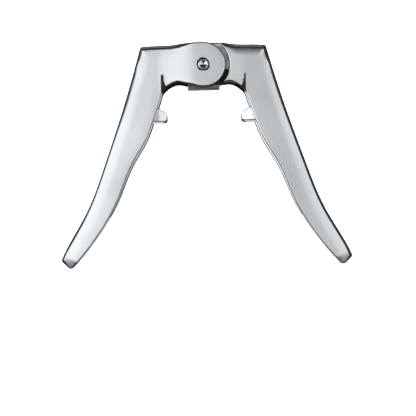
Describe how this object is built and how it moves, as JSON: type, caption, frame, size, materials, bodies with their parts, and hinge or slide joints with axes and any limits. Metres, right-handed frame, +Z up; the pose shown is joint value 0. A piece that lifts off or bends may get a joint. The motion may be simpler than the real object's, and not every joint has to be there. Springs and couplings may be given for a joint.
{
  "type": "sparkling wine cork opener",
  "caption": "Cork puller for sparkling wine: sprung, curved metal levers on a top hinge pin, with hooked claws and a flat cork rest.",
  "frame": {"origin": "centre of the cork rest's flat underside, which sits on top of the cork", "axes": "+X along the width towards the right lever, +Y from the face with the pin's dimpled head to the rear, +Z up along the bottle's axis"},
  "size_m": [0.12, 0.025, 0.092],
  "materials": {
    "satin_metal": "satin chrome plate on a die casting",
    "polished_metal": "polished chrome plate",
    "turned_steel": "turned, with fine circular tool marks",
    "fastener_steel": "plain steel",
    "spring_steel": "drawn wire",
    "sleeve_plastic": "matte black",
    "rest_metal": "dull plate, darker than the levers"
  },
  "bodies": {
    "hinge_core": {"hinge_pin": "turned_steel", "rear_cap": "turned_steel", "front_thrust_washer": "fastener_steel", "rear_thrust_washer": "fastener_steel", "spring_sleeve": "sleeve_plastic", "torsion_spring": "spring_steel", "cork_rest": "rest_metal"},
    "left_arm": {"left_lever": "satin_metal", "left_claw": "polished_metal", "left_claw_front_screw": "fastener_steel", "left_claw_rear_screw": "fastener_steel"},
    "right_arm": {"right_lever": "satin_metal", "right_claw": "polished_metal", "right_claw_front_screw": "fastener_steel", "right_claw_rear_screw": "fastener_steel"}
  },
  "joints": [
    {"name": "left_lever_hinge", "type": "hinge", "parent": "hinge_core", "child": "left_arm", "pos_m": [0, 0, 0.0099], "axis": [0, -1, 0], "range_deg": [0, 31], "stiffness_Nm_per_rad": 0.35, "springref_deg": -22.92, "deforming": ["torsion_spring"]},
    {"name": "right_lever_hinge", "type": "hinge", "parent": "hinge_core", "child": "right_arm", "pos_m": [0, 0, 0.0099], "axis": [0, 1, 0], "range_deg": [0, 31], "stiffness_Nm_per_rad": 0.35, "springref_deg": -22.92, "deforming": ["torsion_spring"]}
  ]
}
